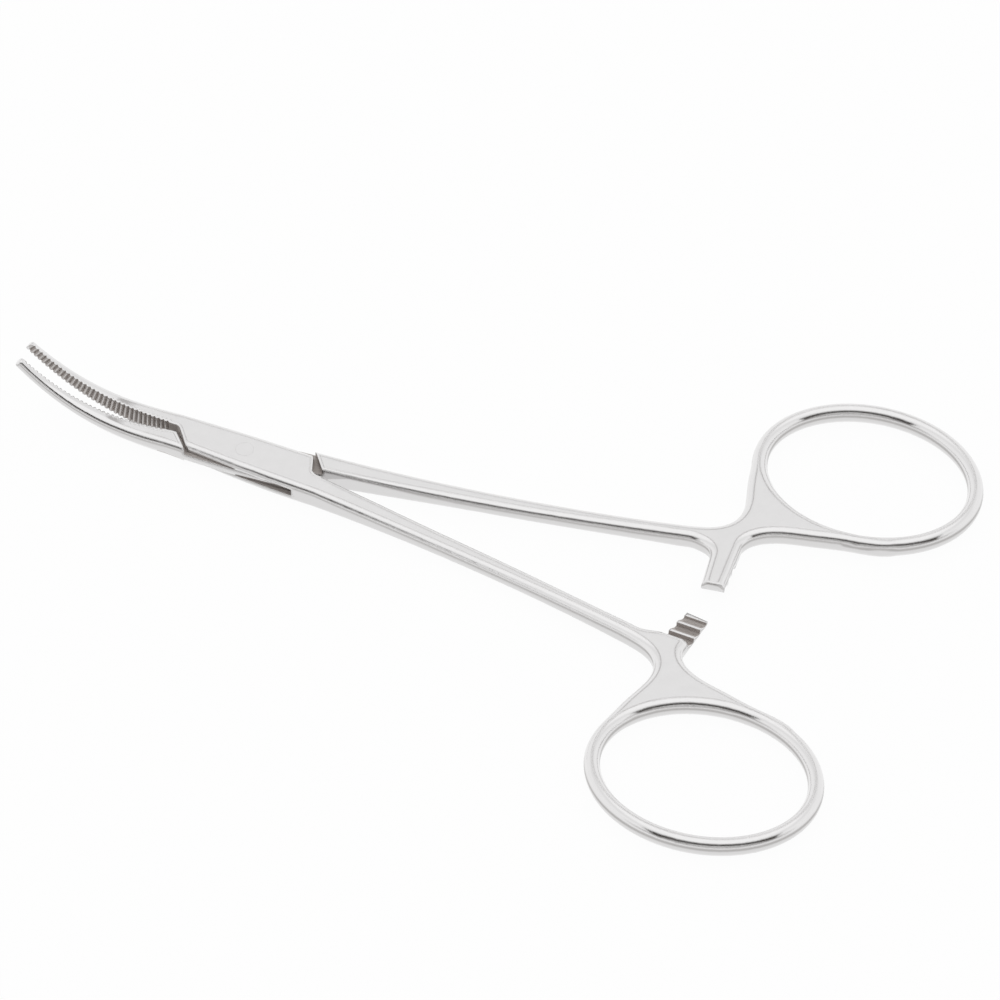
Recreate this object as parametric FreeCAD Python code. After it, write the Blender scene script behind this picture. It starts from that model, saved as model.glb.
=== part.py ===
"""Curved mosquito pattern box-lock forceps: box half, tongue half and pivot pin.

Millimetres. The jaws point to -X, the finger rings to +X, and the jaws curve up to +Z.
The origin is on the pivot axis, at the underside of the box, which lies on the table.
Each half is drawn with the jaws closed, and is then turned by half the rest opening.
"""
import FreeCAD
import Part
import math
import os

# Whole instrument, jaws closed
JAW_REACH = 31.3
SHANK_END_X = 57.0
WEB_REACH = 5.25
WEB_SPREAD = 6.45
REST_OPENING_DEG = 5.0

# Box lock
BOX_THICKNESS = 3.1
BOX_FRONT_X = -10.2
BOX_REAR_X = 11.2
BOX_FRONT_HALF_WIDTH = 2.5
BOX_MIDDLE_HALF_WIDTH = 2.95
BOX_REAR_HALF_WIDTH = 3.1
EDGE_RADIUS = 0.72
TONGUE_THICKNESS = 1.0
TONGUE_SIDE_GAP = 0.03
TONGUE_RADIUS = 8.6
SLOT_END_GAP = 0.2
FRONT_SHOULDER_OUTER_X = 7.3
FRONT_SHOULDER_INNER_X = 9.4
REAR_SHOULDER_OUTER_X = 8.4
REAR_SHOULDER_INNER_X = 9.7
SHOULDER_GAP = 0.2
REAR_SHOULDER_INNER_GAP = 1.1
CROTCH_HEIGHT = 0.3
CROTCH_LEAN = 0.3
PARTING_GAP = 0.15

# Pivot pin
PIN_RADIUS = 0.95
PIN_SEAT_GAP = 0.01
PIN_RUNNING_GAP = 0.03
PIN_FLARE = 0.22

# Jaws
JAW_CURVE_START_X = -10.6
JAW_RISE = 6.95
JAW_CURVE_POWER = 2.55
JAW_TIP_WIDTH = 0.8
JAW_WIDTH_POWER = 1.1
JAW_TIP_THICKNESS = 1.3
JAW_THICKNESS_POWER = 1.25
JAW_TIP_RADIUS = 0.45
JAW_TIP_ROUNDING = 0.3
JAW_FACE_TIP_GAP = 0.02
JAW_FACE_ROOT_GAP = 0.15
JAW_BOW = 0.2
JAW_ROOT_UNDER_RADIUS = 1.75
SERRATION_PITCH = 0.66
SERRATION_DEPTH = 0.24
SERRATION_LAND = 0.2
SERRATION_TIP_MARGIN = 0.5
SERRATION_ROOT_MARGIN = 0.75

# Shanks
SHANK_SPREAD = 5.075
SHANK_BOW = 2.338
SHANK_END_WIDTH = 2.2
SHANK_WAIST_WIDTH = 1.9
SHANK_WAIST_SHARE = 0.54
SHANK_WAIST_THICKNESS = 2.2
SHANK_EDGE_RADIUS = 0.76
SHANK_CROTCH_RADIUS = 0.25
WEB_THICKNESS = 2.76
WEB_EDGE_RADIUS = 0.95

# Finger rings
RING_LONG_RADIUS = 14.3
RING_SHORT_RADIUS = 11.55
RING_TURN_DEG = -4.0
RING_TUBE_WIDTH = 2.06
RING_TUBE_HEIGHT = 2.7
WEB_RIM_INSET = 0.18

# Ratchets
TONGUE_RATCHET_TIP_Y = -1.15
BOX_RATCHET_TIP_Y = 0.2
ARM_TIP_SLANT = 0.3
RATCHET_SMOOTH_LENGTH = 0.6
RATCHET_PITCH = 1.7
RATCHET_TEETH = 3
RATCHET_TOOTH_HEIGHT = 0.6
RATCHET_BACK_SLANT = 0.05
RATCHET_FLOOR = 0.4
RATCHET_CREST = 0.3
RATCHET_CUT_LEFT = 2.0
RATCHET_LIFT_GAP = 0.06

# How far a cutting shape runs past what it cuts
CUT_OVERRUN = 1.0

BOX_MIDDLE_Z = BOX_THICKNESS / 2.0
RING_MIDDLE_Z = WEB_THICKNESS / 2.0
SHANK_LENGTH = SHANK_END_X - BOX_REAR_X
SHANK_START_Y = (PARTING_GAP + BOX_REAR_HALF_WIDTH) / 2.0
SHANK_END_Y = SHANK_START_Y + SHANK_SPREAD
RING_NEAR_X = SHANK_END_X + WEB_REACH
RING_NEAR_Y = SHANK_END_Y + WEB_SPREAD
RING_CENTRE_X = RING_NEAR_X + RING_LONG_RADIUS
RING_CENTRE_Y = RING_NEAR_Y + RING_SHORT_RADIUS
SLOT_HEIGHT = TONGUE_THICKNESS + 2.0 * TONGUE_SIDE_GAP
SLOT_RADIUS = TONGUE_RADIUS + SLOT_END_GAP
UP = FreeCAD.Vector(0, 0, 1)


def point(x, y, z=0.0):
    """Return a point in millimetres."""
    return FreeCAD.Vector(x, y, z)


def spline(points, first=None, last=None):
    """Return one smooth edge through the points, with its end directions if they are given."""
    curve = Part.BSplineCurve()
    places = [point(*place) for place in points]
    if first is None:
        curve.interpolate(places)
    else:
        curve.interpolate(Points=places, InitialTangent=first, FinalTangent=last)
    return curve.toShape()


def line(start, end):
    """Return one straight edge."""
    return Part.makeLine(point(*start), point(*end))


def prism(edges, low, high):
    """Return the closed outline of edges, raised from the low to the high level."""
    face = Part.Face(Part.Wire(Part.sortEdges(edges)[0]))
    face.translate(point(0, 0, low))
    return face.extrude(UP * (high - low))


def polygon(points, low, high):
    """Return a straight-sided prism between two levels."""
    corners = [point(*place) for place in points]
    face = Part.Face(Part.makePolygon(corners + corners[:1]))
    face.translate(point(0, 0, low))
    return face.extrude(UP * (high - low))


def rounded_section(x, inner, outer, middle, thickness, low_in, low_out, high_out, high_in):
    """Return one rectangular wire in the plane at x, with a radius for each of its four corners."""
    low = middle - thickness / 2.0
    high = middle + thickness / 2.0

    def at(y, z):
        return point(x, y, z)

    return rounded_wire(at, inner, outer, low, high, (low_in, low_out, high_out, high_in))


def rounded_wire(at, inner, outer, low, high, radii):
    """Return a rectangle of lines and quarter rounds, where at places a point.

    A radius of zero leaves a sharp corner.
    """
    low_in, low_out, high_out, high_in = radii
    bends = [
        (inner, low, 1, 1, low_in),
        (outer, low, -1, 1, low_out),
        (outer, high, -1, -1, high_out),
        (inner, high, 1, -1, high_in),
    ]
    rounds = []
    for number, (y, z, to_y, to_z, radius) in enumerate(bends):
        give = radius * (1.0 - math.sqrt(0.5))
        beside = at(y + to_y * radius, z)
        above = at(y, z + to_z * radius)
        middle = at(y + to_y * give, z + to_z * give)
        upwards = number % 2 == 1
        rounds.append((beside, middle, above) if upwards else (above, middle, beside))
    edges = []
    for number, (start, middle, end) in enumerate(rounds):
        if bends[number][4] > 0.0:
            edges.append(Part.Arc(start, middle, end).toShape())
        edges.append(Part.makeLine(end, rounds[(number + 1) % 4][0]))
    return Part.Wire(edges)


# Jaw, drawn on the +Y side


def jaw_place(x):
    """Return the height of the jaw centre line and its slope angle at x."""
    length = JAW_REACH + JAW_CURVE_START_X
    share = max(0.0, (JAW_CURVE_START_X - x) / length)
    height = BOX_MIDDLE_Z + JAW_RISE * share ** JAW_CURVE_POWER
    slope = JAW_RISE * JAW_CURVE_POWER * share ** (JAW_CURVE_POWER - 1.0) / length
    return height, math.atan(slope)


def jaw_share(x):
    """Return how far x is along the jaw, from 0 at the tip to 1 at the box."""
    return (x + JAW_REACH) / (BOX_FRONT_X + JAW_REACH)


def jaw_face(x):
    """Return how far the gripping face stays from the closing plane at x."""
    share = jaw_share(x)
    bow = 4.0 * JAW_BOW * share * (1.0 - share)
    return JAW_FACE_TIP_GAP + (JAW_FACE_ROOT_GAP - JAW_FACE_TIP_GAP) * share + bow


def jaw_section(x, width, thickness, under_radius, radius):
    """Return one D-shaped wire square to the jaw centre line at x, rounder below than above."""
    height, slope = jaw_place(x)
    inner = jaw_face(x)
    half = thickness / 2.0

    def at(y, along):
        return point(x + along * math.sin(slope), y, height + along * math.cos(slope))

    return rounded_wire(at, inner, inner + width, -half, half, (0.0, under_radius, radius, 0.0))


def jaw(phase):
    """Return one curved, serrated jaw that points to -X on the +Y side."""
    root_width = BOX_FRONT_HALF_WIDTH - JAW_FACE_ROOT_GAP
    sections = []
    for share in (1.0, 0.915, 0.82, 0.7, 0.58, 0.42, 0.25, 0.11, 0.015, 0.0):
        x = -JAW_REACH + share * (BOX_FRONT_X + JAW_REACH)
        width = JAW_TIP_WIDTH + (root_width - JAW_TIP_WIDTH) * share ** JAW_WIDTH_POWER
        swell = share ** JAW_THICKNESS_POWER
        thickness = JAW_TIP_THICKNESS + (BOX_THICKNESS - JAW_TIP_THICKNESS) * swell
        radius = min(EDGE_RADIUS, JAW_TIP_RADIUS + 2.0 * share * (EDGE_RADIUS - JAW_TIP_RADIUS))
        under_radius = JAW_TIP_RADIUS + (JAW_ROOT_UNDER_RADIUS - JAW_TIP_RADIUS) * swell
        sections.append(jaw_section(x, width, thickness, under_radius, radius))
    body = Part.makeLoft(sections, True, False)
    tip = min(body.Faces, key=lambda face: face.CenterOfMass.x)
    inner = min(tip.Edges, key=lambda edge: edge.CenterOfMass.y)
    rims = [edge for edge in tip.Edges if not edge.isSame(inner)]
    body = body.makeFillet(JAW_TIP_ROUNDING, rims)
    return body.cut(Part.makeCompound(serration_cutters(phase)))


def serration_cutters(phase):
    """Return the grooves across the gripping face, each square to the jaw centre line."""
    cutters = []
    half = (SERRATION_PITCH - SERRATION_LAND) / 2.0
    reach = 0.5
    x = -JAW_REACH + SERRATION_TIP_MARGIN + phase * SERRATION_PITCH
    while x < BOX_FRONT_X - SERRATION_ROOT_MARGIN:
        height, slope = jaw_place(x)
        face = jaw_face(x)
        along = point(math.cos(slope), 0, -math.sin(slope))
        across = point(math.sin(slope), 0, math.cos(slope))
        centre = point(x, face, height)
        flare = half * (SERRATION_DEPTH + reach) / SERRATION_DEPTH
        corners = [
            centre + point(0, SERRATION_DEPTH, 0),
            centre + along * flare + point(0, -reach, 0),
            centre - along * flare + point(0, -reach, 0),
        ]
        profile = Part.Face(Part.makePolygon(corners + corners[:1]))
        profile.translate(across * -BOX_THICKNESS)
        cutters.append(profile.extrude(across * (2.0 * BOX_THICKNESS)))
        x += SERRATION_PITCH * math.cos(slope)
    return cutters


# Shank, web and ring, drawn on the +Y side


def shank_middle(share):
    """Return the Y of the shank's centre line, a parabola, at a share of its length."""
    return SHANK_START_Y + (SHANK_SPREAD - SHANK_BOW) * share + SHANK_BOW * share ** 2


def shank_width(share):
    """Return the width of the shank, which narrows evenly and flares again into the web."""
    start = BOX_REAR_HALF_WIDTH - PARTING_GAP
    taper = start + (SHANK_WAIST_WIDTH - start) * share
    return taper + (SHANK_END_WIDTH - SHANK_WAIST_WIDTH) * share ** 6


def shank_thickness(share):
    """Return the thickness of the shank, least at its waist."""
    if share < SHANK_WAIST_SHARE:
        rise = (1.0 - share / SHANK_WAIST_SHARE) ** 2.2
        return SHANK_WAIST_THICKNESS + (BOX_THICKNESS - SHANK_WAIST_THICKNESS) * rise
    rise = ((share - SHANK_WAIST_SHARE) / (1.0 - SHANK_WAIST_SHARE)) ** 2
    return SHANK_WAIST_THICKNESS + (WEB_THICKNESS - SHANK_WAIST_THICKNESS) * rise


def shank_end_turn():
    """Return the direction of the shank's centre line where it meets the web, in degrees."""
    return math.degrees(math.atan((SHANK_SPREAD + SHANK_BOW) / SHANK_LENGTH))


def shank():
    """Return the tapered shank from the box to the ring web, whose end is square to its centre line."""
    sections = []
    for share in (0.0, 0.06, 0.19, 0.32, SHANK_WAIST_SHARE, 0.76, 1.0):
        x = BOX_REAR_X + share * SHANK_LENGTH
        middle = shank_middle(share)
        half = shank_width(share) / 2.0
        level = BOX_MIDDLE_Z + (RING_MIDDLE_Z - BOX_MIDDLE_Z) * share
        near_box = max(0.0, 1.0 - 3.0 * share)
        radius = SHANK_EDGE_RADIUS + (WEB_EDGE_RADIUS - SHANK_EDGE_RADIUS) * share ** 3
        inner_radius = radius + (SHANK_CROTCH_RADIUS - radius) * near_box
        outer_radius = radius + (EDGE_RADIUS - radius) * near_box
        section = rounded_section(
            x, middle - half, middle + half, level, shank_thickness(share),
            inner_radius, outer_radius, outer_radius, inner_radius
        )
        sections.append(section)
    sections[-1].rotate(point(SHANK_END_X, SHANK_END_Y), UP, shank_end_turn())
    return Part.makeLoft(sections, True, False)


def ring_point(angle_deg, offset=0.0):
    """Return the point at an angle seen from the ring centre, an offset outside the ring's centre line."""
    angle = math.radians(angle_deg)
    turn = math.radians(RING_TURN_DEG)
    x = (RING_LONG_RADIUS + offset) * math.cos(angle)
    y = (RING_SHORT_RADIUS + offset) * math.sin(angle)
    return (
        RING_CENTRE_X + x * math.cos(turn) - y * math.sin(turn),
        RING_CENTRE_Y + x * math.sin(turn) + y * math.cos(turn),
    )


def ring():
    """Return the oval finger ring, an upright elliptical section swept along an ellipse."""
    section_curve = Part.Ellipse(point(0, 0), RING_TUBE_HEIGHT / 2.0, RING_TUBE_WIDTH / 2.0)
    section = Part.Wire([
        section_curve.toShape(math.radians(start), math.radians(start + 180))
        for start in (0, 180)
    ])
    section.rotate(point(0, 0), point(0, 1, 0), -90)
    section.rotate(point(0, 0), UP, 90)
    section.translate(point(RING_LONG_RADIUS, 0))
    spine_curve = Part.Ellipse(point(0, 0), RING_LONG_RADIUS, RING_SHORT_RADIUS)
    spine = Part.Wire([
        spine_curve.toShape(math.radians(start), math.radians(start + 90))
        for start in (0, 90, 180, 270)
    ])
    tube = spine.makePipeShell([section], True, True)
    tube.rotate(point(0, 0), UP, RING_TURN_DEG)
    tube.translate(point(RING_CENTRE_X, RING_CENTRE_Y, RING_MIDDLE_Z))
    return tube


def from_shank(along, across):
    """Return a plan place measured from the end of the shank's centre line."""
    return SHANK_END_X + along, SHANK_END_Y + across


def from_ring(along, across):
    """Return a plan place measured from the near corner of the ring's centre line."""
    return RING_NEAR_X + along, RING_NEAR_Y + across


def web(tip):
    """Return the web that joins the shank to the ring and carries the ratchet arm, which ends at tip."""
    turn = math.radians(shank_end_turn())
    along = point(math.cos(turn), math.sin(turn))
    side = point(-math.sin(turn), math.cos(turn)) * (SHANK_END_WIDTH / 2.0)
    middle = point(SHANK_END_X, SHANK_END_Y)
    inner_start = middle - side
    outer_start = middle + side
    proud = RING_TUBE_WIDTH / 2.0
    sunk = WEB_RIM_INSET - proud
    outer_edge = [
        (outer_start.x, outer_start.y),
        from_shank(0.44 * WEB_REACH, 0.25 * WEB_SPREAD),
        from_ring(-0.65, -3.95),
        from_ring(0.85, -2.45),
        from_ring(1.4, -0.45),
        from_ring(1.0, 2.3),
        ring_point(211, proud + 0.7),
        ring_point(200, proud),
        ring_point(188, proud - 0.2),
        ring_point(176, 0.0),
    ]
    rim = [ring_point(176, 0.0), ring_point(190, sunk / 2.0)]
    rim += [ring_point(angle, sunk) for angle in (205, 225, 245, 265, 285)]
    rim += [ring_point(300, sunk / 2.0), ring_point(312, 0.0)]
    arm_root = from_ring(3.35, -6.15)
    arm_right = (RING_NEAR_X + 3.75, tip + ARM_TIP_SLANT)
    arm_left = (RING_NEAR_X + 0.75, tip)
    arm_bend = (RING_NEAR_X + 0.15, SHANK_END_Y - 3.1)
    neck_edge = [
        arm_root,
        from_ring(4.25, -4.35),
        from_ring(6.35, -2.95),
        ring_point(262, proud + 1.1),
        ring_point(278, proud - 0.08),
        ring_point(297, proud),
        ring_point(305, proud - 0.2),
        ring_point(312, 0.0),
    ]
    inner_edge = [
        arm_bend,
        (RING_NEAR_X - 0.65, SHANK_END_Y - 1.5),
        from_shank(2.6, -0.85),
        (inner_start.x, inner_start.y),
    ]
    edges = [
        Part.makeLine(inner_start, outer_start),
        spline(outer_edge, along, point(0.3, 1.0)),
        spline(rim),
        spline(neck_edge),
        line(arm_root, arm_right),
        line(arm_right, arm_left),
        line(arm_left, arm_bend),
        spline(inner_edge, point(-0.12, 1.0), -along),
    ]
    body = prism(edges, 0.0, WEB_THICKNESS)
    rims = []
    for edge in body.Edges:
        centre = edge.CenterOfMass
        level = edge.BoundBox.ZLength < 0.01
        at_shank = edge.BoundBox.XMax < SHANK_END_X + 0.5
        at_tip = centre.y < tip + ARM_TIP_SLANT
        if level and not at_shank and not at_tip:
            rims.append(edge)
    return body.makeFillet(WEB_EDGE_RADIUS, rims)


def ratchet_cutter(tip):
    """Return what is taken from under the ratchet arm: half its depth, with saw teeth left."""
    base = RING_MIDDLE_Z + RATCHET_LIFT_GAP
    deep = base + RATCHET_TOOTH_HEIGHT / 2.0
    peak = base - RATCHET_TOOTH_HEIGHT / 2.0
    first = tip + RATCHET_SMOOTH_LENGTH
    before = tip - CUT_OVERRUN
    outline = [(before, -CUT_OVERRUN), (before, base), (first, base)]
    for index in range(RATCHET_TEETH):
        start = first + index * RATCHET_PITCH
        outline.append((start + RATCHET_BACK_SLANT, deep))
        outline.append((start + RATCHET_BACK_SLANT + RATCHET_FLOOR, deep))
        outline.append((start + RATCHET_PITCH - RATCHET_CREST, peak))
        outline.append((start + RATCHET_PITCH, peak))
    outline.append((first + RATCHET_TEETH * RATCHET_PITCH, -CUT_OVERRUN))
    corners = [point(RING_NEAR_X - RATCHET_CUT_LEFT, y, z) for y, z in outline]
    profile = Part.Face(Part.makePolygon(corners + corners[:1]))
    return profile.extrude(point(RATCHET_CUT_LEFT + WEB_REACH, 0, 0))


# Box lock, drawn in plan


def box_blank():
    """Return the whole closed box, with its long edges rounded, more so under the jaws."""
    places = [
        (BOX_FRONT_X, BOX_FRONT_HALF_WIDTH, JAW_ROOT_UNDER_RADIUS),
        (0.0, BOX_MIDDLE_HALF_WIDTH, EDGE_RADIUS),
        (BOX_REAR_X, BOX_REAR_HALF_WIDTH, EDGE_RADIUS),
    ]
    sections = [
        rounded_section(x, -half, half, BOX_MIDDLE_Z, BOX_THICKNESS, under, under, EDGE_RADIUS, EDGE_RADIUS)
        for x, half, under in places
    ]
    return Part.makeLoft(sections, True, False)


def shoulder_region(outer_x, inner_x, half_width):
    """Return the plan region right of a shoulder line on the +Y side, above and below the box too."""
    slope = (inner_x - outer_x) / half_width
    top = half_width + CUT_OVERRUN
    far = BOX_REAR_X + CUT_OVERRUN
    corners = [
        (outer_x - slope * CUT_OVERRUN, top),
        (inner_x - slope * PARTING_GAP, PARTING_GAP),
        (far, PARTING_GAP),
        (far, top),
    ]
    return polygon(corners, -CUT_OVERRUN, BOX_THICKNESS + CUT_OVERRUN)


def notch_region(outer_x, inner_x, half_width, end_x):
    """Return the plan region that the box half leaves free for the other half on the +Y side."""
    slope = (inner_x - outer_x) / half_width
    top = half_width + CUT_OVERRUN
    far = BOX_REAR_X + CUT_OVERRUN
    start = (inner_x - slope * CROTCH_HEIGHT, CROTCH_HEIGHT)
    end = (end_x, -PARTING_GAP)
    run = end[0] - start[0]
    fall = end[1] - start[1]
    bend = (start[0] + CROTCH_LEAN * run, start[1] + (1.0 - CROTCH_LEAN) * fall)
    shoulder = (outer_x - slope * CUT_OVERRUN, top)
    edges = [
        line(shoulder, start),
        Part.Arc(point(*start), point(*bend), point(*end)).toShape(),
        line(end, (far, end[1])),
        line((far, end[1]), (far, top)),
        line((far, top), shoulder),
    ]
    return prism(edges, -CUT_OVERRUN, BOX_THICKNESS + CUT_OVERRUN)


def half_turn(shape):
    """Return the shape turned half a turn about the pivot axis."""
    turned = shape.copy()
    turned.rotate(point(0, 0), UP, 180)
    return turned


def mirrored(shape):
    """Return the shape mirrored to the other side of the closing plane."""
    return shape.mirror(point(0, 0), point(0, 1, 0))


def slot_level(gap):
    """Return the low and high level of the slot, made smaller by a gap each side."""
    half = SLOT_HEIGHT / 2.0 - gap
    return BOX_MIDDLE_Z - half, BOX_MIDDLE_Z + half


def neck_region(end_x, low, high):
    """Return the plan region beside the closing plane, through which the tongue joins its shank."""
    side = BOX_REAR_HALF_WIDTH + CUT_OVERRUN
    return polygon([(0, PARTING_GAP), (end_x, PARTING_GAP), (end_x, side), (0, side)], low, high)


def pin_shape(gap):
    """Return the pin, flared at both ends, grown all round by a gap."""
    radius = PIN_RADIUS + gap
    flare = radius + PIN_FLARE
    cone = PIN_FLARE
    shaft = Part.makeCylinder(radius, BOX_THICKNESS)
    lower = Part.makeCone(flare, radius, cone)
    upper = Part.makeCone(radius, flare, cone, point(0, 0, BOX_THICKNESS - cone))
    return shaft.fuse([lower, upper]).removeSplitter()


def box_half():
    """Return the half whose box is slotted: jaw on the +Y side, shank on the -Y side."""
    low, high = slot_level(0.0)
    rear = notch_region(REAR_SHOULDER_OUTER_X, REAR_SHOULDER_INNER_X, BOX_REAR_HALF_WIDTH, BOX_REAR_X)
    front = notch_region(FRONT_SHOULDER_OUTER_X, FRONT_SHOULDER_INNER_X, BOX_FRONT_HALF_WIDTH, -BOX_FRONT_X)
    slot = Part.makeCylinder(SLOT_RADIUS, high - low, point(0, 0, low))
    neck = neck_region(BOX_REAR_X + CUT_OVERRUN, low, high)
    neck.translate(point(0, -2.0 * PARTING_GAP))
    box = box_blank().cut([rear, half_turn(front), slot, neck, half_turn(neck), pin_shape(PIN_SEAT_GAP)])
    arm = web(BOX_RATCHET_TIP_Y).cut(mirror_level(ratchet_cutter(BOX_RATCHET_TIP_Y)))
    handle = mirrored(shank().fuse([arm, ring()]))
    return box.fuse([jaw(0.0), handle]).removeSplitter()


def mirror_level(shape):
    """Return the shape mirrored to the other side of the ring's middle plane."""
    return shape.mirror(point(0, 0, RING_MIDDLE_Z), UP)


def tongue_half():
    """Return the half that passes through the box: jaw on the -Y side, shank on the +Y side."""
    low, high = slot_level(TONGUE_SIDE_GAP)
    full = box_blank()
    rear_outer = REAR_SHOULDER_OUTER_X + SHOULDER_GAP
    rear_inner = REAR_SHOULDER_INNER_X + REAR_SHOULDER_INNER_GAP
    rear = full.common(shoulder_region(rear_outer, rear_inner, BOX_REAR_HALF_WIDTH))
    front_outer = FRONT_SHOULDER_OUTER_X + SHOULDER_GAP
    front_inner = FRONT_SHOULDER_INNER_X + SHOULDER_GAP
    front = full.common(half_turn(shoulder_region(front_outer, front_inner, BOX_FRONT_HALF_WIDTH)))
    disc = Part.makeCylinder(TONGUE_RADIUS, high - low, point(0, 0, low))
    neck = neck_region(BOX_REAR_X, low, high)
    tongue = full.common(disc.fuse([neck, half_turn(neck)]))
    bore = Part.makeCylinder(PIN_RADIUS + PIN_RUNNING_GAP, BOX_THICKNESS)
    arm = web(TONGUE_RATCHET_TIP_Y).cut(ratchet_cutter(TONGUE_RATCHET_TIP_Y))
    handle = shank().fuse([arm, ring()])
    body = tongue.fuse([rear, front, mirrored(jaw(0.5)), handle])
    return body.cut(bore).removeSplitter()


def main():
    """Build the three pieces, turn them to the rest opening and write one file for each."""
    os.makedirs("parts", exist_ok=True)
    parts = {
        "box_half": box_half(),
        "tongue_half": tongue_half(),
        "pivot_pin": pin_shape(0.0),
    }
    turns = {"box_half": -0.5, "tongue_half": 0.5, "pivot_pin": -0.5}
    for name, shape in parts.items():
        shape.rotate(point(0, 0), UP, turns[name] * REST_OPENING_DEG)
        shape.exportStep("parts/" + name + ".step")
        print(name, shape.isValid(), len(shape.Solids), round(shape.Volume, 2), shape.BoundBox)


main()
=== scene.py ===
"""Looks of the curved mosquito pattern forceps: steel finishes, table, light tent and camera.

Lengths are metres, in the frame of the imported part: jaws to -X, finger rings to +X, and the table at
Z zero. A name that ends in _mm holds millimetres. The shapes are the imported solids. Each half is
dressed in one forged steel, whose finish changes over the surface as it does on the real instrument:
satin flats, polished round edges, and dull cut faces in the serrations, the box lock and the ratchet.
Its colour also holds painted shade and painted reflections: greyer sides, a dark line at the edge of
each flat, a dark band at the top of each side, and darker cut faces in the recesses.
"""
import logging
import math
from dataclasses import dataclass
from enum import Enum

import bpy
import numpy as np
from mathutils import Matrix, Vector

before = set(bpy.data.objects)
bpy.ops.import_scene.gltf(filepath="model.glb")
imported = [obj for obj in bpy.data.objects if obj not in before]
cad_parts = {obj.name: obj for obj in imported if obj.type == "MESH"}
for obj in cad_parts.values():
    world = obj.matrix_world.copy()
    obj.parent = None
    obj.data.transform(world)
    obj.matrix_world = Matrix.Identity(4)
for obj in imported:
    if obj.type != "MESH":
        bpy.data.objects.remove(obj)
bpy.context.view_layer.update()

LOG = logging.getLogger("forceps")
MM = 0.001

Tree = bpy.types.NodeTree
Socket = bpy.types.NodeSocket
Range = tuple[float, float]
ANY: Range = (-1000.0, 1000.0)

# Sockets of a Mix node, which has a pair of inputs and a result for each kind of value
VECTOR_A, VECTOR_B, VECTOR_RESULT = 4, 5, 1
COLOUR_A, COLOUR_B, COLOUR_RESULT = 6, 7, 2

# Each half is turned by half of the photographed opening, away from the closed instrument
HALF_OPENING_DEG = 2.5


class Tone(Enum):
    """Colours as sRGB hex values, named for where they are seen."""

    SATIN = "EBEAEA"
    SATIN_CLOUD = "E4E3E3"
    POLISH = "ECEBEB"
    POLISH_CLOUD = "E6E5E5"
    # Painted shade on the steep sides
    PAINTED_SIDE_SHADE = "DAD9D9"
    # Painted dark reflection line along the edge of each flat
    PAINTED_EDGE_LINE = "A3A09F"
    # Painted dark reflection band at the top of each side
    PAINTED_BAND = "B4B2B1"
    # Cut faces: partly their own duller tone, partly painted shade in the recesses
    MILLED_AND_PAINTED_SHADE = "C2BCB8"
    MILLED_DEEP_AND_PAINTED_SHADE = "A8A19D"
    TABLE = "F8F8F8"
    GLOW = "FFFFFF"
    BACK_CLOTH = "F6F6F6"
    SEAM = "ECECEC"
    ROOF = "FFFFFF"
    FOOT_GAP = "A09E9D"
    OPENING = "4A4745"


def linear(tone: Tone) -> tuple[float, float, float, float]:
    """Turn a hex tone into the linear colour that a shader takes, along the sRGB curve.

    Args:
        tone: the named sRGB colour.

    Returns:
        Red, green, blue and an alpha of one, in linear light.
    """
    channels = [int(tone.value[place : place + 2], 16) / 255.0 for place in (0, 2, 4)]
    red, green, blue = [c / 12.92 if c <= 0.04045 else ((c + 0.055) / 1.055) ** 2.4 for c in channels]
    return red, green, blue, 1.0


def towards(azimuth_deg: float, elevation_deg: float) -> Vector:
    """Give the unit vector towards an azimuth, measured from -Y to +X, and an elevation.

    Args:
        azimuth_deg: the azimuth in degrees.
        elevation_deg: the elevation in degrees.

    Returns:
        The unit vector.
    """
    azimuth, elevation = math.radians(azimuth_deg), math.radians(elevation_deg)
    flat = math.cos(elevation)
    return Vector((math.sin(azimuth) * flat, -math.cos(azimuth) * flat, math.sin(elevation)))


def add(
    tree: Tree, kind: str, settings: dict | None = None, links: dict | None = None
) -> bpy.types.Node:
    """Add one node with its settings and links.

    Args:
        tree: the node tree that takes the node.
        kind: the node type, without the leading "ShaderNode".
        settings: attribute names, or socket names and numbers, with their values.
        links: socket names or numbers with the output socket that feeds each.

    Returns:
        The new node.
    """
    node = tree.nodes.new("ShaderNode" + kind)
    for name, value in (settings or {}).items():
        if isinstance(name, str) and hasattr(node, name):
            setattr(node, name, value)
        else:
            node.inputs[name].default_value = value
    for name, source in (links or {}).items():
        tree.links.new(source, node.inputs[name])
    return node


def within(tree: Tree, value: Socket, limits: Range, soft: float) -> Socket:
    """Give one where a value lies within its limits, and zero a soft width outside them.

    Args:
        tree: the node tree that takes the nodes.
        value: the socket that is tested.
        limits: the lowest and highest value that count in full.
        soft: the width over which the result falls off.

    Returns:
        The socket with the result, from 0 to 1.
    """
    low, high = limits
    up = {"From Min": low - soft, "From Max": low}
    down = {"From Min": high, "From Max": high + soft, "To Min": 1.0, "To Max": 0.0}
    rise, fall = [
        add(tree, "MapRange", slope, {"Value": value}).outputs["Result"] for slope in (up, down)
    ]
    return add(tree, "Math", {"operation": "MULTIPLY"}, {0: rise, 1: fall}).outputs[0]


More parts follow.
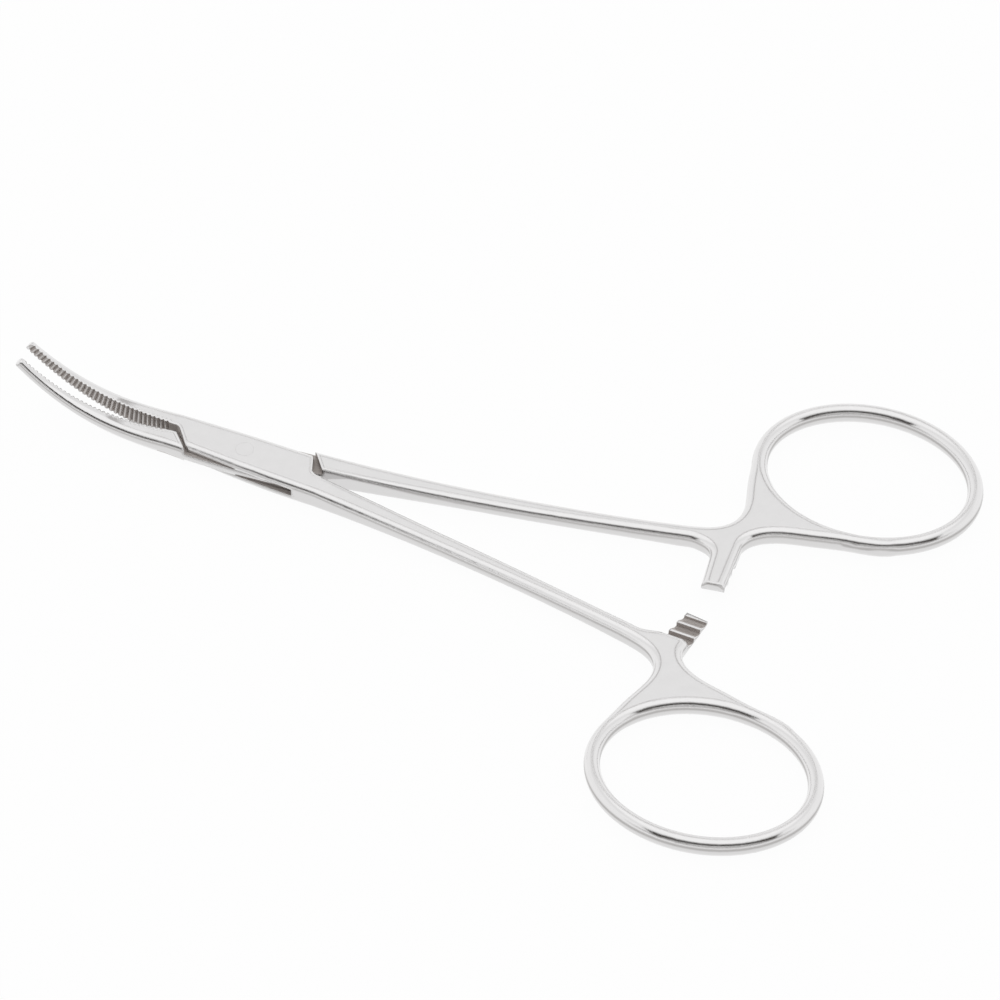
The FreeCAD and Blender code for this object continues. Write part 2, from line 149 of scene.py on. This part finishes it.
@dataclass(frozen=True)
class CutZone:
    """A box round faces that a cutter left, in millimetres, in the frame of the closed instrument.

    A face in the box counts as cut where its normal lies within the ranges too.
    """

    name: str
    x: Range = ANY
    y: Range = ANY
    z: Range = ANY
    normal_x: Range = ANY
    normal_y: Range = ANY
    normal_z: Range = ANY
    place_soft: float = 0.02
    normal_soft: float = 0.06
    # How far the finish of the cut faces covers the steel's own
    strength: float = 1.0

    def mask(self, tree: Tree, place: bpy.types.Node, facing: bpy.types.Node) -> Socket:
        """Multiply the tests of this zone that have limits.

        Args:
            tree: the node tree that takes the nodes.
            place: the separated place in millimetres.
            facing: the separated normal.

        Returns:
            The socket with the zone's mask.
        """
        tests = [
            (place.outputs["X"], self.x, self.place_soft),
            (place.outputs["Y"], self.y, self.place_soft),
            (place.outputs["Z"], self.z, self.place_soft),
            (facing.outputs["X"], self.normal_x, self.normal_soft),
            (facing.outputs["Y"], self.normal_y, self.normal_soft),
            (facing.outputs["Z"], self.normal_z, self.normal_soft),
        ]
        masks = [within(tree, value, limits, soft) for value, limits, soft in tests if limits != ANY]
        result = masks[0]
        for other in masks[1:]:
            result = add(tree, "Math", {"operation": "MULTIPLY"}, {0: result, 1: other}).outputs[0]
        if self.strength < 1.0:
            weaken = {"operation": "MULTIPLY", 1: self.strength}
            result = add(tree, "Math", weaken, {0: result}).outputs[0]
        return result


@dataclass(frozen=True)
class Pattern:
    """A noise over the surface: the size of its marks, its finer layers, and how strong each one is."""

    size_mm: float
    detail: float
    roughness: float

    def settings(self) -> dict[str, float]:
        """Give the settings of a noise node on coordinates in millimetres.

        Returns:
            The socket names with their values.
        """
        return {"Scale": 1.0 / self.size_mm, "Detail": self.detail, "Roughness": self.roughness}


@dataclass(frozen=True)
class ForgedSteel:
    """Martensitic stainless steel, drop forged, then ground satin on its flats and polished on its edges.

    The satin spreads a reflection into an even pale grey, the polish draws thin bright and dark lines
    along every round edge, and the faces that a cutter left stay rough and dull. The colour adds painted
    shade: greyer sides, a painted dark reflection line at the edge of each flat, a painted dark band at
    the top of each side, and darker cut faces, partly their own dull tone and partly painted shade.
    """

    name: str
    turn_deg: float
    zones: tuple[CutZone, ...] = ()
    # Roughness of the two finishes, and how far each wanders to either side
    satin_roughness: float = 0.36
    satin_wander: float = 0.04
    polish_roughness: float = 0.07
    polish_wander: float = 0.02
    # The cut faces keep a dull film in their roughness, which scatters light as paint does
    milled_roughness: float = 0.5
    milled_metallic: float = 0.35
    # Reach of the hand polish, which rounds the light over each edge
    rounding_mm: float = 0.75
    rounding_samples: int = 8
    # The fine jaws get a shorter reach, which grows from one place along them to the other
    fine_rounding_mm: float = 0.25
    fine_from_x_mm: float = -24.0
    full_from_x_mm: float = -12.0
    # Half of the square round the flush pin, in which no edge is rounded
    flush_half_mm: float = 1.9
    flush_soft_mm: float = 0.2
    # How far up the rounded normal points tells the finishes apart, from 1 on a flat to 0 on a side.
    # The satin begins at the first value and is full at the second
    satin_up: Range = (0.985, 0.9985)
    # A painted dark reflection line along the edge of each flat, where the satin meets the polish, and its
    # share
    painted_line_up: Range = (0.989, 0.994)
    painted_line_soft: float = 0.004
    painted_line_share: float = 0.75
    # A painted dark reflection band at the top of each side, where the rounded normal points a little up
    painted_band_up: Range = (0.1, 0.26)
    painted_band_soft: float = 0.06
    # Painted shade that greys the sides, in full at the first value and gone at the second
    painted_side_shade_up: Range = (0.2, 0.5)
    # Abrasive grain of the satin. Real 240 grit scratches are 0.02 mm apart, and are drawn coarser
    # here so that they show
    grain: Pattern = Pattern(0.09, 2.0, 0.6)
    grain_depth_mm: float = 0.0011
    # Share of the grain's depth that the polish leaves
    grain_on_polish: float = 0.05
    # Brush lines along the instrument, whose pattern of unit size is stretched to length and spacing
    brush: Pattern = Pattern(1.0, 3.0, 0.65)
    brush_length_mm: float = 3.0
    brush_spacing_mm: float = 0.07
    brush_depth_mm: float = 0.0006
    # Clouds left by tumbling
    cloud: Pattern = Pattern(1.7, 4.0, 0.55)
    # Cutter marks across the cut faces
    cutter: Pattern = Pattern(0.07, 3.0, 0.7)

    def coordinates(self, tree: Tree) -> tuple[Socket, bpy.types.Node, bpy.types.Node]:
        """Turn the Object coordinates and the normal back to the closed instrument.

        Args:
            tree: the node tree that takes the nodes.

        Returns:
            The socket with the place in millimetres, and the separated place and normal.
        """
        source = add(tree, "TexCoord")
        back = {"vector_type": "TEXTURE", "Rotation": (0.0, 0.0, math.radians(self.turn_deg))}
        closed = add(tree, "Mapping", back, {"Vector": source.outputs["Object"]})
        larger = {"operation": "SCALE", "Scale": 1.0 / MM}
        millimetres = add(tree, "VectorMath", larger, {0: closed.outputs["Vector"]}).outputs[0]
        normal = add(tree, "Mapping", back, {"Vector": source.outputs["Normal"]})
        place = add(tree, "SeparateXYZ", links={0: millimetres})
        facing = add(tree, "SeparateXYZ", links={0: normal.outputs["Vector"]})
        return millimetres, place, facing

    def rounded_normal(
        self, tree: Tree, place: bpy.types.Node, facing: bpy.types.Node, true_normal: Socket
    ) -> Socket:
        """Round the normal over each edge, but not round the flush pin.

        Args:
            tree: the node tree that takes the nodes.
            place: the separated place in millimetres.
            facing: the separated normal.
            true_normal: the normal of the solid.

        Returns:
            The socket with the rounded normal.
        """
        along = {"From Min": self.fine_from_x_mm, "From Max": self.full_from_x_mm}
        reach = {"To Min": self.fine_rounding_mm * MM, "To Max": self.rounding_mm * MM}
        radius = add(tree, "MapRange", along | reach, {"Value": place.outputs["X"]}).outputs["Result"]
        rounded = add(tree, "Bevel", {"samples": self.rounding_samples}, {"Radius": radius}).outputs[0]
        square = (-self.flush_half_mm, self.flush_half_mm)
        pin = CutZone("flush_pin", x=square, y=square, place_soft=self.flush_soft_mm)
        flush = pin.mask(tree, place, facing)
        links = {"Factor": flush, VECTOR_A: rounded, VECTOR_B: true_normal}
        return add(tree, "Mix", {"data_type": "VECTOR"}, links).outputs[VECTOR_RESULT]

    def colour(self, tree: Tree, lean: Socket, up: Socket, flat: Socket, cloud: Socket) -> Socket:
        """Lay the tones of satin and polish, and over them the painted shade on the sides, the painted dark
        reflection band and the painted dark reflection line.

        Args:
            tree: the node tree that takes the nodes.
            lean: how far up or down the rounded normal points.
            up: the same without its sign.
            flat: the share of satin.
            cloud: the clouds left by tumbling.

        Returns:
            The socket with the colour.
        """
        polish, satin = [
            add(
                tree,
                "Mix",
                {"data_type": "RGBA", COLOUR_A: linear(tone), COLOUR_B: linear(clouded)},
                {"Factor": cloud},
            ).outputs[COLOUR_RESULT]
            for tone, clouded in ((Tone.POLISH, Tone.POLISH_CLOUD), (Tone.SATIN, Tone.SATIN_CLOUD))
        ]
        links = {"Factor": flat, COLOUR_A: polish, COLOUR_B: satin}
        colour = add(tree, "Mix", {"data_type": "RGBA"}, links).outputs[COLOUR_RESULT]

        # Painted shade: the sides get a greyer tone by how steeply the rounded normal points
        low, high = self.painted_side_shade_up
        fading = {"From Min": low, "From Max": high, "To Min": 1.0, "To Max": 0.0}
        side = add(tree, "MapRange", fading, {"Value": up}).outputs["Result"]
        painted_band = within(tree, lean, self.painted_band_up, self.painted_band_soft)
        painted_line = within(tree, up, self.painted_line_up, self.painted_line_soft)
        part = {"operation": "MULTIPLY", 1: self.painted_line_share}
        drawn = add(tree, "Math", part, {0: painted_line}).outputs[0]
        # Painted shade on the sides, then the painted dark reflection band and line, over the steel
        for tone, share in ((Tone.PAINTED_SIDE_SHADE, side), (Tone.PAINTED_BAND, painted_band), (Tone.PAINTED_EDGE_LINE, drawn)):
            settings = {"data_type": "RGBA", COLOUR_B: linear(tone)}
            links = {"Factor": share, COLOUR_A: colour}
            colour = add(tree, "Mix", settings, links).outputs[COLOUR_RESULT]
        return colour

    def roughness(self, tree: Tree, flat: Socket, brush: Socket, cloud: Socket) -> Socket:
        """Let the roughness wander with the brush lines on the satin and with the clouds on the polish.

        Args:
            tree: the node tree that takes the nodes.
            flat: the share of satin.
            brush: the brush lines.
            cloud: the clouds left by tumbling.

        Returns:
            The socket with the roughness.
        """
        polish, satin = [
            add(
                tree,
                "MapRange",
                {"To Min": middle - wander, "To Max": middle + wander},
                {"Value": pattern},
            ).outputs["Result"]
            for middle, wander, pattern in (
                (self.polish_roughness, self.polish_wander, cloud),
                (self.satin_roughness, self.satin_wander, brush),
            )
        ]
        links = {"Factor": flat, "A": polish, "B": satin}
        return add(tree, "Mix", {"data_type": "FLOAT"}, links).outputs[0]

    def cut_faces(self, tree: Tree, place: bpy.types.Node, facing: bpy.types.Node) -> Socket:
        """Join the masks of all zones.

        Args:
            tree: the node tree that takes the nodes.
            place: the separated place in millimetres.
            facing: the separated normal.

        Returns:
            The socket with the joined mask.
        """
        masks = [zone.mask(tree, place, facing) for zone in self.zones]
        joined = masks[0]
        for mask in masks[1:]:
            joined = add(tree, "Math", {"operation": "MAXIMUM"}, {0: joined, 1: mask}).outputs[0]
        return joined

    def build(self) -> bpy.types.Material:
        """Build the material on Object coordinates.

        Returns:
            The finished material.
        """
        material = bpy.data.materials.new(self.name)
        material.use_nodes = True
        tree = material.node_tree
        tree.nodes.clear()
        millimetres, place, facing = self.coordinates(tree)
        true_normal = add(tree, "NewGeometry").outputs["Normal"]
        normal = self.rounded_normal(tree, place, facing, true_normal)
        lean = add(tree, "SeparateXYZ", links={0: normal}).outputs["Z"]
        up = add(tree, "Math", {"operation": "ABSOLUTE"}, {0: lean}).outputs[0]
        low, high = self.satin_up
        growing = {"interpolation_type": "SMOOTHSTEP", "From Min": low, "From Max": high}
        flat = add(tree, "MapRange", growing, {"Value": up}).outputs["Result"]

        grain = add(tree, "TexNoise", self.grain.settings(), {"Vector": millimetres}).outputs["Fac"]
        cloud = add(tree, "TexNoise", self.cloud.settings(), {"Vector": millimetres}).outputs["Fac"]
        spacing = 1.0 / self.brush_spacing_mm
        stretch = {"Scale": (1.0 / self.brush_length_mm, spacing, spacing)}
        lines = add(tree, "Mapping", stretch, {"Vector": millimetres}).outputs["Vector"]
        brush = add(tree, "TexNoise", self.brush.settings(), {"Vector": lines}).outputs["Fac"]

        colour = self.colour(tree, lean, up, flat, cloud)
        roughness = self.roughness(tree, flat, brush, cloud)
        share = {"operation": "MULTIPLY_ADD", 1: self.brush_depth_mm / self.grain_depth_mm}
        height = add(tree, "Math", share, {0: brush, 2: grain}).outputs[0]
        left = {"To Min": self.grain_on_polish, "To Max": 1.0}
        strength = add(tree, "MapRange", left, {"Value": flat}).outputs["Result"]
        shader = add(tree, "BsdfPrincipled", {"Metallic": 1.0})

        if self.zones:
            milled_and_painted_shade = self.cut_faces(tree, place, facing)
            fall = {"To Min": 1.0, "To Max": self.milled_metallic}
            metallic = add(tree, "MapRange", fall, {"Value": milled_and_painted_shade}).outputs["Result"]
            tree.links.new(metallic, shader.inputs["Metallic"])
            links = {"Factor": milled_and_painted_shade, VECTOR_A: normal, VECTOR_B: true_normal}
            normal = add(tree, "Mix", {"data_type": "VECTOR"}, links).outputs[VECTOR_RESULT]
            # The cut faces get a darker colour, partly their own dull tone and partly painted shade in the
            # grooves, slot and gaps
            marks = add(tree, "TexNoise", self.cutter.settings(), {"Vector": millimetres})
            tones = {COLOUR_A: linear(Tone.MILLED_DEEP_AND_PAINTED_SHADE), COLOUR_B: linear(Tone.MILLED_AND_PAINTED_SHADE)}
            links = {"Factor": marks.outputs["Fac"]}
            dull = add(tree, "Mix", {"data_type": "RGBA"} | tones, links).outputs[COLOUR_RESULT]
            links = {"Factor": milled_and_painted_shade, COLOUR_A: colour, COLOUR_B: dull}
            colour = add(tree, "Mix", {"data_type": "RGBA"}, links).outputs[COLOUR_RESULT]
            settings = {"data_type": "FLOAT", "B": self.milled_roughness}
            roughness = add(tree, "Mix", settings, {"Factor": milled_and_painted_shade, "A": roughness}).outputs[0]

        depth = {"Distance": self.grain_depth_mm * MM}
        bump = add(tree, "Bump", depth, {"Height": height, "Strength": strength, "Normal": normal})
        tree.links.new(colour, shader.inputs["Base Color"])
        tree.links.new(roughness, shader.inputs["Roughness"])
        tree.links.new(bump.outputs["Normal"], shader.inputs["Normal"])
        add(tree, "OutputMaterial", links={"Surface": shader.outputs["BSDF"]})
        return material


# The cut faces of the box lock, which has the same shoulders and slot on both halves. Their darker colour is
# partly their own dull tone and partly painted shade in the slot and the shoulder gaps
BOX_LOCK = (
    CutZone("shoulders", x=(-11.4, 11.4), y=(-3.2, 3.2), z=(-0.1, 3.2), normal_x=(0.5, 1.1)),
    CutZone("back_shoulders", x=(-11.4, 11.4), y=(-3.2, 3.2), z=(-0.1, 3.2), normal_x=(-1.1, -0.5)),
    CutZone("slot", x=(-11.3, 11.3), z=(0.95, 2.15), normal_y=(-0.9, 0.9)),
)


@dataclass
class BoxHalf:
    """The half whose box is slotted: jaw on the far side, ratchet teeth on top."""

    node: str = "box_half"
    turn_deg: float = -HALF_OPENING_DEG
    zones: tuple[CutZone, ...] = BOX_LOCK + (
        CutZone("serrations", x=(-31.2, -11.05), y=(-0.5, 1.2), normal_y=(-0.9, -0.3)),
        # The lands take half of the cut faces' finish, and their darker colour there is painted shade
        CutZone("lands", x=(-31.2, -11.05), y=(-0.5, 1.2), normal_y=(-1.1, -0.9), strength=0.5),
        CutZone("heel", x=(-11.05, -8.9), y=(-0.3, 1.2), normal_y=(-1.1, -0.3), normal_z=(-0.5, 0.5)),
        CutZone("ratchet", x=(60.2, 67.5), y=(-5.95, -0.78), z=(0.95, 1.58), normal_x=(-0.6, 0.6)),
    )

    def dress(self) -> None:
        """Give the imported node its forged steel."""
        dress(self.node, ForgedSteel("satin_forged_steel_box_half", self.turn_deg, self.zones))


@dataclass
class TongueHalf:
    """The half that passes through the box: jaw on the near side, ratchet teeth underneath."""

    node: str = "tongue_half"
    turn_deg: float = HALF_OPENING_DEG
    zones: tuple[CutZone, ...] = BOX_LOCK + (
        CutZone("serrations", x=(-31.2, -11.05), y=(-1.2, 0.5), normal_y=(0.3, 0.9)),
        # The lands take half of the cut faces' finish, and their darker colour there is painted shade
        CutZone("lands", x=(-31.2, -11.05), y=(-1.2, 0.5), normal_y=(0.9, 1.1), strength=0.5),
        CutZone("heel", x=(-11.05, -8.9), y=(-1.2, 0.3), normal_y=(0.3, 1.1), normal_z=(-0.5, 0.5)),
        CutZone("ratchet", x=(60.2, 67.5), y=(-0.53, 4.6), z=(1.18, 1.8), normal_x=(-0.6, 0.6)),
    )

    def dress(self) -> None:
        """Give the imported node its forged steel."""
        dress(self.node, ForgedSteel("satin_forged_steel_tongue_half", self.turn_deg, self.zones))


@dataclass
class PivotPin:
    """The pin, peened and ground flush with the box, so that only a hair line shows."""

    node: str = "pivot_pin"
    turn_deg: float = -HALF_OPENING_DEG
    # Wider than the pin, so that all of it is flush
    flush_half_mm: float = 9.0

    def dress(self) -> None:
        """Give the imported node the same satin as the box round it."""
        finish = ForgedSteel("satin_ground_steel_pin", self.turn_deg, flush_half_mm=self.flush_half_mm)
        dress(self.node, finish)


def dress(node: str, finish: ForgedSteel) -> None:
    """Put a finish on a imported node.

    Args:
        node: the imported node's name.
        finish: the steel it gets.
    """
    material = finish.build()
    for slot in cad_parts[node].material_slots:
        slot.material = material
    cut = ", ".join(zone.name for zone in finish.zones) or "none"
    LOG.info("%s dressed in %s, cut faces: %s", node, finish.name, cut)


@dataclass
class Table:
    """A round pale table top, wide enough that its edge stays far outside the view."""

    radius: float = 3.0
    rings: int = 8
    sides: int = 96
    # Share of the table that is seen as plain white, and not by the light that falls on it
    seen_white: float = 0.95

    def mesh(self) -> bpy.types.Mesh:
        """Work out the top as circles round the origin, each point at radius times (cos, sin).

        Returns:
            The mesh of the top, with one cell between each two circles and spokes.
        """
        radii = self.radius * np.linspace(0.0, 1.0, self.rings + 1)[1:]
        angles = np.linspace(0.0, 2.0 * math.pi, self.sides, endpoint=False)
        across, along = np.meshgrid(radii, angles, indexing="ij")
        flat = np.stack([across * np.cos(along), across * np.sin(along), np.zeros_like(across)], axis=-1)
        points = np.vstack([np.zeros((1, 3)), flat.reshape(-1, 3)])
        number = 1 + np.arange(self.rings * self.sides).reshape(self.rings, self.sides)
        inner, outer = number[:-1], number[1:]
        cells = np.stack([inner, outer, np.roll(outer, -1, axis=1), np.roll(inner, -1, axis=1)], axis=-1)
        hub = np.stack([np.zeros(self.sides, int), number[0], np.roll(number[0], -1)], axis=-1)
        top = bpy.data.meshes.new("table")
        top.from_pydata(points.tolist(), [], cells.reshape(-1, 4).tolist() + hub.tolist())
        return top

    def material(self) -> bpy.types.Material:
        """Matt white paper, seen as white by the camera and in the steel, with a share that keeps the shadow.

        Returns:
            The finished material.
        """
        material = bpy.data.materials.new("matt_white_paper")
        material.use_nodes = True
        tree = material.node_tree
        tree.nodes.clear()
        lit = add(tree, "BsdfDiffuse", {"Color": linear(Tone.TABLE)})
        glow = add(tree, "Emission", {"Color": linear(Tone.GLOW), "Strength": 1.0})
        ray = add(tree, "LightPath")
        rays = {0: ray.outputs["Is Camera Ray"], 1: ray.outputs["Is Glossy Ray"]}
        seen = add(tree, "Math", {"operation": "MAXIMUM"}, rays)
        part = {"operation": "MULTIPLY", 1: self.seen_white}
        share = add(tree, "Math", part, {0: seen.outputs[0]})
        blend = add(tree, "MixShader", links={0: share.outputs[0], 1: lit.outputs[0], 2: glow.outputs[0]})
        add(tree, "OutputMaterial", links={"Surface": blend.outputs[0]})
        return material

    def build(self) -> None:
        """Lay the table under the part."""
        top = bpy.data.objects.new("table", self.mesh())
        top.data.materials.append(self.material())
        bpy.context.scene.collection.objects.link(top)
        LOG.info("table laid")


@dataclass
class LightTent:
    """A white cloth tent, with the opening that the camera looks through.

    The steel is a mirror, so the tent draws its lines: an even back cloth for the flats, a faint seam
    above it, a white roof for the round edges, a dark opening that becomes the thin dark line along
    each edge that faces the camera, and a grey gap at the foot of the cloth below it.
    """

    strength: float = 1.05
    opening_azimuth_deg: float = 23.05
    opening_elevation_deg: float = 33.0
    opening_half_width_deg: float = 44.0
    opening_half_height_deg: float = 12.0
    # Widths over which the masks fade, as shares of the unit direction
    opening_soft: float = 0.05
    opening_front_soft: float = 0.2
    foot_gap_bottom: float = -0.02
    foot_gap_top_deg: float = 13.0
    foot_gap_fade_share: float = 0.2
    foot_gap_width_deg: float = 60.0
    foot_gap_side_soft: float = 0.2
    # The cloth's tones by height, from the table up to the zenith
    stops: tuple[tuple[float, Tone], ...] = (
        (0.0, Tone.BACK_CLOTH),
        (0.52, Tone.BACK_CLOTH),
        (0.62, Tone.SEAM),
        (0.76, Tone.SEAM),
        (0.86, Tone.ROOF),
        (1.0, Tone.ROOF),
    )

    def cloth(self, tree: Tree, height: Socket) -> Socket:
        """Colour the cloth by height.

        Args:
            tree: the node tree that takes the nodes.
            height: the height of the direction that is looked in.

        Returns:
            The socket with the colour.
        """
        cloth = add(tree, "ValToRGB", links={"Fac": height})
        ramp = cloth.color_ramp.elements
        ramp[0].position, ramp[1].position = self.stops[0][0], self.stops[-1][0]
        ramp[0].color, ramp[1].color = linear(self.stops[0][1]), linear(self.stops[-1][1])
        for position, tone in self.stops[1:-1]:
            ramp.new(position).color = linear(tone)
        return cloth.outputs["Color"]

    def opening(self, tree: Tree, looking: Socket) -> Socket:
        """Mask the opening, which is a rectangle round its centre, in front only.

        Args:
            tree: the node tree that takes the nodes.
            looking: the direction that is looked in.

        Returns:
            The socket with the mask.
        """
        centre = towards(self.opening_azimuth_deg, self.opening_elevation_deg)
        side = towards(self.opening_azimuth_deg, 0.0).cross(Vector((0.0, 0.0, 1.0)))
        ahead, across, over = [
            add(tree, "VectorMath", {"operation": "DOT_PRODUCT", 1: axis}, {0: looking}).outputs["Value"]
            for axis in (centre, side, side.cross(centre))
        ]
        half_width = math.sin(math.radians(self.opening_half_width_deg))
        half_height = math.sin(math.radians(self.opening_half_height_deg))
        wide = within(tree, across, (-half_width, half_width), self.opening_soft)
        tall = within(tree, over, (-half_height, half_height), self.opening_soft)
        inside = add(tree, "Math", {"operation": "MULTIPLY"}, {0: wide, 1: tall}).outputs[0]
        growing = {"From Min": 0.0, "From Max": self.opening_front_soft}
        front = add(tree, "MapRange", growing, {"Value": ahead}).outputs["Result"]
        return add(tree, "Math", {"operation": "MULTIPLY"}, {0: inside, 1: front}).outputs[0]

    def foot_gap(self, tree: Tree, looking: Socket, height: Socket) -> Socket:
        """Mask the gap at the foot of the cloth, below the opening.

        Args:
            tree: the node tree that takes the nodes.
            looking: the direction that is looked in.
            height: the height of that direction.

        Returns:
            The socket with the mask.
        """
        top = math.sin(math.radians(self.foot_gap_top_deg))
        fade = self.foot_gap_fade_share * top
        low = within(tree, height, (self.foot_gap_bottom, top - fade), fade)
        axis = towards(self.opening_azimuth_deg, 0.0)
        dot = add(tree, "VectorMath", {"operation": "DOT_PRODUCT", 1: axis}, {0: looking})
        edge = math.cos(math.radians(self.foot_gap_width_deg))
        soft = self.foot_gap_side_soft
        growing = {"From Min": edge - soft, "From Max": edge + soft}
        facing = add(tree, "MapRange", growing, {"Value": dot.outputs["Value"]}).outputs["Result"]
        return add(tree, "Math", {"operation": "MULTIPLY"}, {0: low, 1: facing}).outputs[0]

    def build(self) -> None:
        """Set the world to the tent."""
        world = bpy.data.worlds.new("light_tent")
        bpy.context.scene.world = world
        world.use_nodes = True
        tree = world.node_tree
        tree.nodes.clear()
        looking = add(tree, "TexCoord").outputs["Generated"]
        height = add(tree, "SeparateXYZ", links={0: looking}).outputs["Z"]
        colour = self.cloth(tree, height)
        gap = self.foot_gap(tree, looking, height)
        opening = self.opening(tree, looking)
        for tone, share in ((Tone.FOOT_GAP, gap), (Tone.OPENING, opening)):
            settings = {"data_type": "RGBA", COLOUR_B: linear(tone)}
            links = {"Factor": share, COLOUR_A: colour}
            colour = add(tree, "Mix", settings, links).outputs[COLOUR_RESULT]
        light = add(tree, "Background", {"Strength": self.strength}, {"Color": colour})
        add(tree, "OutputWorld", links={"Surface": light.outputs["Background"]})
        LOG.info("light tent set")


@dataclass
class Viewpoint:
    """The camera, where the photograph was taken from."""

    azimuth_deg: float = 23.05
    elevation_deg: float = 45.87
    distance: float = 1106.9 * MM
    target: tuple[float, float, float] = (32.75 * MM, 7.27 * MM, 0.0)
    lens: float = 309.2
    # Nearest and farthest distance that it sees
    clip: Range = (0.05, 20.0)

    def build(self) -> None:
        """Place the camera and keep plain view settings."""
        back = towards(self.azimuth_deg, self.elevation_deg)
        data = bpy.data.cameras.new("camera")
        data.lens = self.lens
        data.clip_start, data.clip_end = self.clip
        eye = bpy.data.objects.new("camera", data)
        eye.location = Vector(self.target) + back * self.distance
        eye.rotation_euler = back.to_track_quat("Z", "Y").to_euler()
        bpy.context.scene.collection.objects.link(eye)
        bpy.context.scene.camera = eye
        bpy.context.scene.view_settings.view_transform = "Standard"
        LOG.info("camera placed")


def main() -> None:
    """Build the classes in order and report each piece."""
    logging.basicConfig(level=logging.INFO, format="%(name)s: %(message)s")
    Viewpoint().build()
    Table().build()
    LightTent().build()
    BoxHalf().dress()
    TongueHalf().dress()
    PivotPin().dress()


if __name__ == "__main__":
    main()
